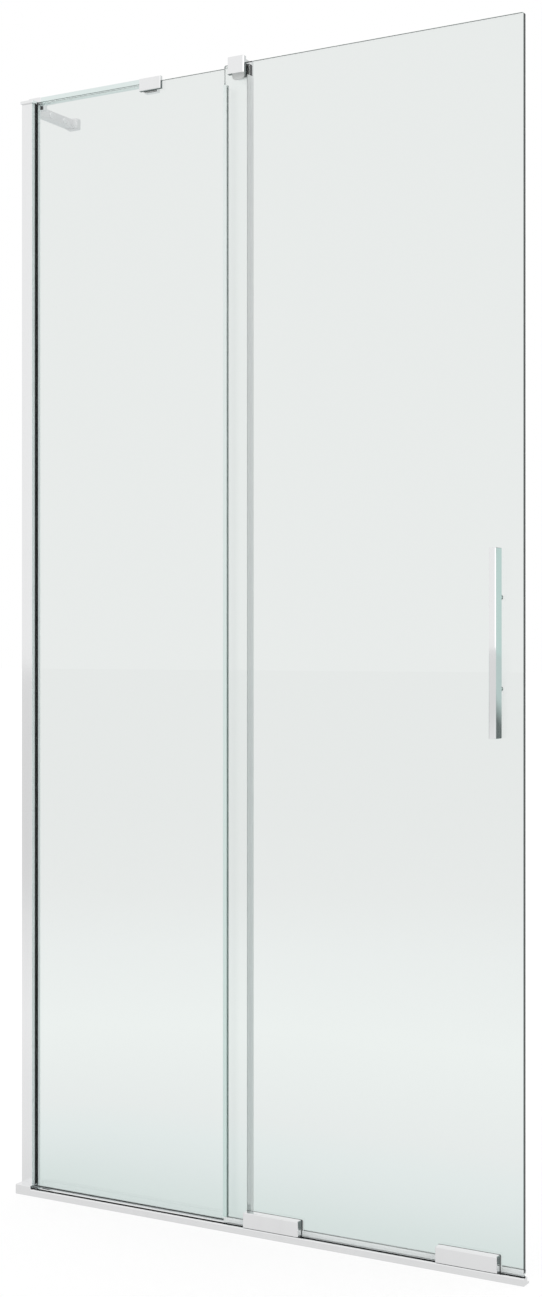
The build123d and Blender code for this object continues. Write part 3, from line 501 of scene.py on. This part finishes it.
def handle_pieces():
    """The pull bar with rounded front corners, its two turned sleeves, soft washers and dome screws."""
    low, high = span("handle_bar")
    outline = block_outline(low[X], high[X], low[Y], high[Y], [3.0 * MM, 3.0 * MM, 0.8 * MM, 0.8 * MM], 12)
    bar = swept(outline, Z, low[Z], high[Z], 0.8 * MM, 0.8 * MM)
    piece("handle_bar_piece", [bar], bright, ["handle_bar"])
    post_low, post_high = span("handle_posts")
    radius = (post_high[X] - post_low[X]) / 2
    x = (post_high[X] + post_low[X]) / 2
    heights = (post_low[Z] + radius, post_high[Z] - radius)
    depth = post_high[Y] - post_low[Y]
    waist = [(radius, 0, 0), (radius, 0, 0.16 * depth), (0.86 * radius, 0, 0.26 * depth)]
    waist += [(0.86 * radius, 0, 0.74 * depth), (radius, 0, 0.84 * depth), (radius, 0, depth)]
    sleeves = [turned(waist, Y, (x, post_low[Y], z)) for z in heights]
    piece("handle_sleeves", sleeves, bright, ["handle_posts"])
    washer_low, washer_high = span("handle_washers")
    outer = (washer_high[X] - washer_low[X]) / 2
    glass_low, glass_high = span("door_glass")
    thick = glass_low[Y] - washer_low[Y]
    rims = []
    for z in heights:
        rims.append(turned(bead(outer, thick, 0.4 * thick), Y, (x, glass_low[Y], z), -1))
        rims.append(turned(bead(outer, thick, 0.4 * thick), Y, (x, glass_high[Y], z), 1))
    piece("handle_washer_rings", rims, white_nylon, ["handle_washers"])
    screw_low, screw_high = span("handle_screws")
    head = (screw_high[X] - screw_low[X]) / 2
    seat = glass_high[Y] + thick
    rows = socket_head(head, screw_high[Y] - seat - 0.1 * MM, 1.0 * MM, 2.6 * MM, 1.2 * MM)
    heads = [turned(rows, Y, (x, seat, z)) for z in heights]
    shank = [(2.0 * MM, 0, 0), (2.0 * MM, 0, seat - screw_low[Y])]
    heads += [turned(shank, Y, (x, seat, z), -1, 24) for z in heights]
    piece("handle_dome_screws", heads, turned_steel, ["handle_screws"])


# Stabiliser arm

def arm_pieces():
    """The bar behind the top of the pane, the wall rail with its soft edges, and the plugs in its holes."""
    low, high = span("arm_bar")
    outline = block_outline(low[Y], high[Y], low[Z], high[Z], [2.5 * MM] * 4, 8)
    bar = swept(outline, X, low[X], high[X], 0.25 * MM, 0.25 * MM)
    piece("arm_bar_piece", [bar], bar_chrome, ["arm_bar"])
    low, high = span("arm_wall_rail")
    outline = block_outline(low[X], high[X], low[Z], high[Z], [0.3 * MM, 1.5 * MM, 1.5 * MM, 0.3 * MM], 8)
    rail = swept(outline, Y, low[Y], high[Y], 0.2 * MM, 0.2 * MM)
    piece("arm_rail_piece", [rail], satin, ["arm_wall_rail"])
    low, high = span("arm_end_block")
    outline = block_outline(low[X], high[X], low[Z], high[Z], [0.4 * MM, 2.0 * MM, 2.0 * MM, 0.4 * MM], 8)
    rail_end = span("arm_wall_rail")[1][Y]
    block = swept(outline, Y, rail_end, high[Y], 0.4 * MM, 1.2 * MM)
    piece("arm_end_piece", [block], satin, ["arm_end_block"])
    low, high = span("arm_screw_plugs")
    radius = (high[Z] - low[Z]) / 2
    face = span("arm_wall_rail")[1][X]
    rows = domed_cap(radius, high[X] - face, 0.6 * MM, 0.2 * MM, 0.6)
    z = (low[Z] + high[Z]) / 2
    plugs = [turned(rows, X, (face, y, z)) for y in (low[Y] + radius, high[Y] - radius)]
    piece("arm_plug_caps", plugs, bright, ["arm_screw_plugs"])


# Caps over the profile screws

def screw_cap_piece():
    """Three domed snap caps on the shower side of the wall profile."""
    low, high = span("profile_screw_caps")
    radius = (high[X] - low[X]) / 2
    x, face = (low[X] + high[X]) / 2, low[Y]
    rows = domed_cap(radius, high[Y] - face, 1.2 * MM, 0.15 * MM, 0.5)
    heights = (low[Z] + radius, (low[Z] + high[Z]) / 2, high[Z] - radius)
    caps = [turned(rows, Y, (x, face, z)) for z in heights]
    piece("profile_snap_caps", caps, bright, ["profile_screw_caps"])


# Clamp and guide

def grub_piece(name, node, material):
    """Two grub screws: a slightly rounded rim round a hexagon socket that opens to the shower side."""
    low, high = span(node)
    radius = (high[Z] - low[Z]) / 2
    length = high[Y] - low[Y]
    rows = socket_head(radius, length, 0.5 * MM, radius, 2.5 * MM)
    z = (low[Z] + high[Z]) / 2
    screws = [turned(rows, Y, (x, low[Y], z)) for x in (low[X] + radius, high[X] - radius)]
    piece(name, screws, material, [node])


# Seals and gaskets

def gasket_pieces():
    """The two wall gaskets: a flap that lies on the pane, with three soft ribs.

    With t from 0 at the profile to 1 at the tip, the flap's thickness falls by 0.66 t cubed, less three
    cosine ribs of 0.18 mm.
    """
    sides = (("wall_gasket_front", -1, black), ("wall_gasket_rear", 1, pale_rubber))
    for node, side, material in sides:
        low, high = span(node)
        edge = span("glass_profile")[1][X]
        near = low[Y] if side > 0 else high[Y]
        lip = abs(high[Y] - low[Y])
        flap = lip - 0.5 * MM
        t = np.linspace(0, 1, 25)
        u = edge + FLAP_SHARE * (high[X] - edge) * t
        rise = flap * (1 - 0.66 * t ** 3) - 0.18 * MM * (0.5 - 0.5 * np.cos(6 * math.pi * t))
        rows = [(low[X], 0), (u[-1], 0), *zip(u[::-1], rise[::-1]), (edge, lip), (low[X], lip)]
        outline = np.array(rows)
        outline[:, 1] = near + side * outline[:, 1]
        piece(node + "_strip", [swept(outline, Z, low[Z], high[Z])], material, [node])


def upright_seal(name, node, pane, inward, material):
    """A clear seal over an upright glass edge: a U whose lips swell at their ends, and the fin behind it.

    The outline runs round the outside of the U, turns over each lip on a bead, and comes back along the
    glass; the fin is a second thin outline whose thickness tapers towards its free edge.
    """
    low, high = span(node)
    face, back = span(pane)[0][Y], span(pane)[1][Y]
    tip = span(pane)[0][X] if inward > 0 else span(pane)[1][X]
    wall = abs((low[X] if inward > 0 else high[X]) - tip)
    lip = (high[X] - low[X]) - wall
    waist, thin, r, small = 0.82 * lip, 0.8 * wall, 0.45 * wall, 0.1 * wall
    corners = [
        (-wall, face - wall, r),
        (waist, face - thin, 0.2 * wall),
        (lip, face - wall, r),
        (lip, face - ROOM, small),
        (-ROOM, face - ROOM, small),
        (-ROOM, back + ROOM, small),
        (lip, back + ROOM, small),
        (lip, back + wall, r),
        (waist, back + thin, 0.2 * wall),
        (-wall, back + wall, r),
    ]
    outline = rounded_outline([(tip + inward * depth, y, radius) for depth, y, radius in corners], 7)
    parts = [swept(outline, Z, low[Z], high[Z])]
    behind = high[Y] > back + 1.5 * wall
    root, free = (back + 0.9 * wall, high[Y]) if behind else (face - 0.9 * wall, low[Y])
    t = np.linspace(0, 1, 9)
    reach = root + (free - root) * t
    bow = -wall * (1 - 0.5 * t)
    thick = 0.6 * wall * (1 - 0.55 * t)
    one = np.stack([tip + inward * bow, reach], -1)
    two = np.stack([tip + inward * (bow + thick), reach], -1)[::-1]
    start = low[Z] if behind else low[Z] + FIN_START
    parts.append(swept(np.concatenate([one, two]), Z, start, high[Z]))
    piece(name, parts, material, [node])


def wheel_pieces():
    """Four crowned nylon wheels with a tread groove and a dished web, and their bearings' steel races."""
    for k in (1, 2, 3, 4):
        low, high = span(f"wheel_{k}")
        ring_low, ring_high = span(f"bearing_outer_ring_{k}")
        radius, width = (high[Z] - low[Z]) / 2, high[Y] - low[Y]
        race, race_width = (ring_high[Z] - ring_low[Z]) / 2, ring_high[Y] - ring_low[Y]
        centre = ((low[X] + high[X]) / 2, low[Y], (low[Z] + high[Z]) / 2)
        t = np.linspace(-1, 1, 21)
        crown = radius - 0.5 * MM * t ** 2 - 0.35 * MM * np.exp(-(t / 0.12) ** 2)
        web = 0.4 * MM
        rows = [(race, 0, 0.5 * MM), (race + 0.6 * MM, 0, 0), (race + 0.9 * MM, 0, 0)]
        rows += [(race + 1.3 * MM, 0, web), (radius - 1.4 * MM, 0, web), (radius - 1.0 * MM, 0, 0)]
        rows += [(r, 0, width * (0.5 + 0.46 * a)) for r, a in zip(crown, t)]
        rows += [(r, 0, width - h) for r, _, h in rows[5::-1]]
        rows += [rows[0]]
        points, faces = turned(rows, Y, centre)
        piece(f"wheel_{k}_tread", [(points, faces[:-2])], white_nylon, [f"wheel_{k}"])
        start = ring_low[Y] - low[Y]
        end, inner, edge = start + race_width, race - 1.2 * MM, 0.3 * MM
        rows = [(race, 0, start + edge), (race - edge, 0, start), (inner, 0, start), (inner, 0, end)]
        rows += [(race - edge, 0, end), (race, 0, end - edge)]
        rows += [rows[0]]
        points, faces = turned(rows, Y, centre)
        piece(f"bearing_{k}_race", [(points, faces[:-2])], turned_steel, [f"bearing_outer_ring_{k}"])


def cover_gaskets():
    """A thin dark gasket round three sides of each carriage cover, between its rim and the door pane."""
    for side in ("left", "right"):
        low, high = span(f"carriage_cover_{side}")
        face = span("door_glass")[0][Y]
        proud, width = 0.15 * MM, 1.2 * MM
        u0, u1, v0, v1 = low[X] - proud, high[X] + proud, low[Z], high[Z] + proud
        outer = [(u0, v0), (u0, v1), (u1, v1), (u1, v0)]
        inner = [(u1 - width, v0), (u1 - width, v1 - width), (u0 + width, v1 - width), (u0 + width, v0)]
        outline = np.array(outer + inner)
        rim = swept(outline, Y, high[Y] - 0.9 * MM, face)
        piece(f"cover_gasket_{side}", [rim], pad_rubber, body="door")


def bottom_wiper():
    """The clear wiper under the door: a soft strip, its flanges between the carriages, and a pointed lip."""
    low, high = span("door_bottom_seal")
    glass_low, glass_high = span("door_glass")
    clear = 1.0 * MM
    edges = [low[X]]
    for cover in ("carriage_cover_left", "carriage_cover_right"):
        cover_low, cover_high = span(cover)
        edges += [cover_low[X] - clear, cover_high[X] + clear]
    edges += [high[X]]
    bottom, wall = glass_low[Z], glass_low[Y] - low[Y]
    foot = bottom - 1.2 * MM
    front, back = glass_low[Y], glass_high[Y]
    r = 0.4 * MM
    strip = block_outline(front, back, foot, bottom, [r, r, 0.1 * MM, 0.1 * MM])
    parts = [swept(strip, X, low[X], high[X])]
    for x0, x1 in zip(edges[::2], edges[1::2]):
        for y0, y1 in ((front - wall, front - ROOM), (back + ROOM, back + wall)):
            flange = block_outline(y0, y1, foot, high[Z], [r] * 4)
            parts.append(swept(flange, X, x0, x1, 0.2 * MM, 0.2 * MM))
    root = np.array([(0, foot), (0.8 * MM, foot), (0.5 * MM, low[Z]), (0.25 * MM, low[Z])])
    lip = root + np.array([(front + back) / 2, 0])
    parts.append(swept(lip, X, low[X], high[X]))
    piece("door_bottom_wiper", parts, wiper_plastic, ["door_bottom_seal"])


upright_seal("door_edge_seal_strip", "door_edge_seal", "door_glass", 1, door_seal_plastic)
upright_seal("fixed_edge_seal_strip", "fixed_glass_edge_seal", "fixed_glass", -1, fixed_seal_plastic)
bottom_wiper()
wheel_pieces()
cover_gaskets()
handle_pieces()
arm_pieces()
screw_cap_piece()
grub_piece("clamp_socket_screws", "clamp_grub_screws", turned_steel)
grub_piece("guide_socket_screws", "guide_grub_screws", turned_steel)
gasket_pieces()


# Stage, light and camera

PALE = 0.872                            # what polished metal sees of the studio
GLASS_GREY = (0.823, 0.84, 0.832)       # what a pane shows of the studio behind it
HALF_WAY = 1.5                          # metres from the screen at which half of a floor ramp is passed


def by_distance(stops):
    """Ramp stops for the floor: a distance d lies at d / (d + HALF_WAY)."""
    return [(d / (d + HALF_WAY), colour) for d, colour in stops]


def by_ray(n, seen, mirrored, past_glass, through, plain):
    """Picks a colour by the kind of ray.

    These are: seen by the camera, mirrored in metal, mirrored and then past a pane, straight through a pane,
    or scattered.
    """
    path = n.add("ShaderNodeLightPath").outputs
    bounced = n.math("GREATER_THAN", path["Glossy Depth"], 0.5)
    glass = n.mix(bounced, through, past_glass)
    colour = n.mix(path["Is Glossy Ray"], plain, mirrored)
    colour = n.mix(path["Is Transmission Ray"], colour, glass)
    return n.mix(path["Is Camera Ray"], colour, seen)


def studio_world():
    """White light all round. Metal sees a pale studio with a darker far wall, and a pane a pale grey one."""
    world = bpy.data.worlds.new("studio")
    world.use_nodes = True
    bpy.context.scene.world = world
    n = Nodes(world.node_tree)
    way = n.add("ShaderNodeTexCoord").outputs["Generated"]
    across, deep, height = n.add("ShaderNodeSeparateXYZ", {0: way}).outputs[:3]
    towards = {"operation": "DOT_PRODUCT"}
    behind = n.add("ShaderNodeVectorMath", {0: way, 1: (0.5, 0.866, 0)}, **towards).outputs["Value"]
    right = n.add("ShaderNodeVectorMath", {0: way, 1: (0.9, -0.43, 0)}, **towards).outputs["Value"]
    corner = n.ramp(n.fit(height, -0.4, 0.4), [
        (0.0, (0.30, 0.38, 0.37)),
        (0.25, (0.50, 0.66, 0.63)),
        (0.66, (0.50, 0.66, 0.63)),
        (0.78, (0.12, 0.15, 0.15)),
        (1.0, (0.08, 0.09, 0.09)),
    ])
    pale = (PALE, PALE, PALE, 1)
    lamp = (1.25, 1.25, 1.25, 1)
    white = (1, 1, 1, 1)
    beside = n.fit(right, 0.75, 0.95, smooth=True)
    metal = n.mix(n.fit(behind, 0.80, 0.93, smooth=True), pale, (0.66, 0.68, 0.68, 1))
    metal = n.mix(beside, metal, lamp)
    shower_side, away_from_wall = n.fit(deep, 0.0, 0.35, smooth=True), n.fit(across, -0.1, 0.1, smooth=True)
    past = n.mix(n.math("MULTIPLY", shower_side, away_from_wall), pale, corner)
    past = n.mix(beside, past, lamp)
    colour = by_ray(n, white, metal, past, (*GLASS_GREY, 1), white)
    n.put(world.node_tree.nodes["Background"].inputs[0], colour)


def studio_floor():
    """A white floor out to the horizon. Metal and glass see it in a tone that depends on its distance: darker
    close to the screen as painted shadow, and dark on the shower side as painted shade.
    """
    mesh = bpy.data.meshes.new("studio_floor")
    reach, drop = 60.0, 0.3 * MM
    corners = [(-reach, -reach), (reach, -reach), (reach, reach), (-reach, reach)]
    mesh.from_pydata([(x, y, -drop) for x, y in corners], [], [(0, 1, 2, 3)])
    floor = bpy.data.objects.new("studio_floor", mesh)
    bpy.context.scene.collection.objects.link(floor)
    material, n, put, here = new_material("floor_white", Base_Color=(0.25, 0.25, 0.25, 1), Roughness=1.0)
    put["Specular IOR Level"].default_value = 0.0
    x, y = n.add("ShaderNodeSeparateXYZ", {0: here}).outputs[:2]
    past = n.math("SUBTRACT", x, n.math("MINIMUM", n.math("MAXIMUM", x, 0.0), 1.0))
    far = n.math("SQRT", n.math("ADD", n.math("MULTIPLY", past, past), n.math("MULTIPLY", y, y)))
    share = n.math("DIVIDE", far, n.math("ADD", far, HALF_WAY))
    # Painted shadow: the floor that metal mirrors is darker close to the screen.
    room_side = [
        (0.06, 0.86), (0.43, 0.933), (0.97, 0.96), (1.7, 0.99), (2.7, 0.951),
        (3.4, 0.905), (4.3, 0.842), (5.3, 0.816), (16, 0.825), (50, 0.842),
    ]
    mirrored = n.ramp(share, by_distance([(d, (PALE * v,) * 3) for d, v in room_side]))
    # Painted shadow: seen through a pane, the floor is darker and greener close to the screen.
    painted_shadow_through_stops = [
        (0.02, (0.80, 0.87, 0.86)), (0.11, (0.834, 0.904, 0.895)), (0.3, (0.904, 0.955, 0.955)),
        (0.46, (0.94, 0.985, 0.985)), (0.66, (0.985, 1.0, 1.0)), (1.5, (1.04, 1.058, 1.05)),
        (2.75, (1.02, 1.03, 1.03)), (4.15, (1, 1, 1)), (8, (0.99, 0.99, 0.99)),
    ]
    tinted = [(d, tuple(g * v for g, v in zip(GLASS_GREY, tone))) for d, tone in painted_shadow_through_stops]
    through = n.ramp(share, by_distance(tinted))
    # Painted shade: on the shower side, the floor that metal mirrors past a pane is dark, and plain mirrored
    # floor there is grey.
    back = [(0, 0.12), (0.12, 0.12), (0.3, 0.4), (1.2, 0.62), (2.2, 0.3), (3.5, 0.12), (8, 0.12), (12, 0.6)]
    dark = n.ramp(share, by_distance([(d, (0.8 * v, v, 0.97 * v)) for d, v in back]))
    shower_side = n.fit(y, 0.0, 0.03)
    past_glass = n.mix(shower_side, mirrored, dark)
    mirrored = n.mix(shower_side, mirrored, (0.68, 0.71, 0.71, 1))
    glow = by_ray(n, (0.785, 0.785, 0.785, 1), mirrored, past_glass, through, (0.4, 0.4, 0.4, 1))
    path = n.add("ShaderNodeLightPath").outputs
    keep = n.math("MAXIMUM", path["Is Camera Ray"], path["Is Diffuse Ray"])
    n.put(put["Base Color"], n.mix(keep, (0, 0, 0, 1), (0.25, 0.25, 0.25, 1)))
    n.put(put["Emission Color"], glow)
    put["Emission Strength"].default_value = 1.0
    mesh.materials.append(material)


def studio_camera():
    """The camera at the photograph's place: room side, 30 degrees to the right, at half the height."""
    lens = bpy.data.cameras.new("photo_camera")
    lens.lens, lens.sensor_width, lens.shift_y = 52.15, 36.0, -0.0031
    lens.clip_end = 200.0
    camera = bpy.data.objects.new("photo_camera", lens)
    camera.location = (2.131, -2.775, 1.0038)
    camera.rotation_euler = (math.radians(90), 0, math.radians(30.11))
    bpy.context.scene.collection.objects.link(camera)
    bpy.context.scene.camera = camera


studio_world()
studio_floor()
studio_camera()
bpy.context.scene.view_settings.view_transform = "Standard"
